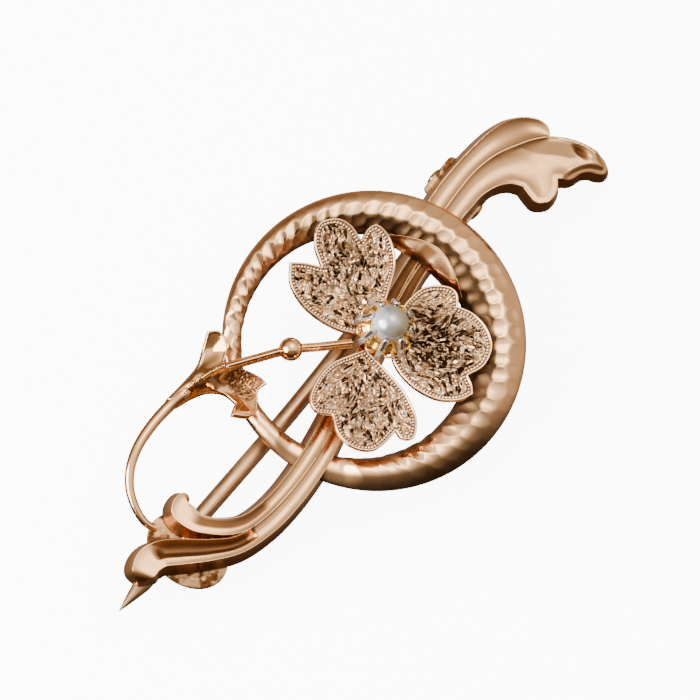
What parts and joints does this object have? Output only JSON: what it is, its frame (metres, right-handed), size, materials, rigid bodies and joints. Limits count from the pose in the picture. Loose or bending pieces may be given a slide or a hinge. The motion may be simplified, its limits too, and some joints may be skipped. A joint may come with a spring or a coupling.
{
  "type": "brooch",
  "caption": "Rose gold brooch: hammered crescent ring on a scrolled bar with an acanthus leaf end, an engraved clover with a claw-set pearl, a lily, and a hinged pin.",
  "frame": {"origin": "middle of the base of the bounding box, on the surface that the brooch rests on with its front up", "axes": "+X along the pin from its point to its hinge, +Z out of the front of the brooch, +Y towards the lily and the upper petal"},
  "size_m": [0.045, 0.0204, 0.0091],
  "materials": {
    "polished_gold": "polished rose gold",
    "hammered_gold": "polished rose gold, hammered in small facets",
    "engraved_gold": "rose gold, engraved all over inside a beaded border",
    "yellow_gold": "polished yellow gold",
    "pale_gold": "polished pale metal",
    "pearl": "nacre, soft lustre"
  },
  "bodies": {
    "brooch_body": {"crescent_ring": "hammered_gold", "scroll_bar": "polished_gold", "acanthus_leaf": "polished_gold", "petal_top": "engraved_gold", "petal_left": "engraved_gold", "petal_right": "engraved_gold", "petal_hub": "polished_gold", "pearl": "pearl", "pearl_cup": "yellow_gold", "claw_1": "pale_gold", "claw_2": "pale_gold", "claw_3": "pale_gold", "claw_4": "pale_gold", "claw_5": "pale_gold", "claw_6": "pale_gold", "claw_7": "pale_gold", "claw_8": "pale_gold", "stem_wire": "polished_gold", "stem_bead": "polished_gold", "lily": "polished_gold", "lily_tail": "polished_gold", "hinge_knuckle_upper": "polished_gold", "hinge_knuckle_lower": "polished_gold", "hinge_rivet": "polished_gold", "hinge_plate": "polished_gold", "catch_plate": "polished_gold", "catch_hook": "polished_gold"},
    "pin": {"pin_stem": "polished_gold", "pin_knuckle": "polished_gold"}
  },
  "joints": [
    {"name": "pin_swing", "type": "hinge", "parent": "brooch_body", "child": "pin", "pos_m": [0.01458, 0.00212, 0.0011], "axis": [0, -1, 0], "range_deg": [0, 110], "deforming": ["pin_stem"]}
  ]
}
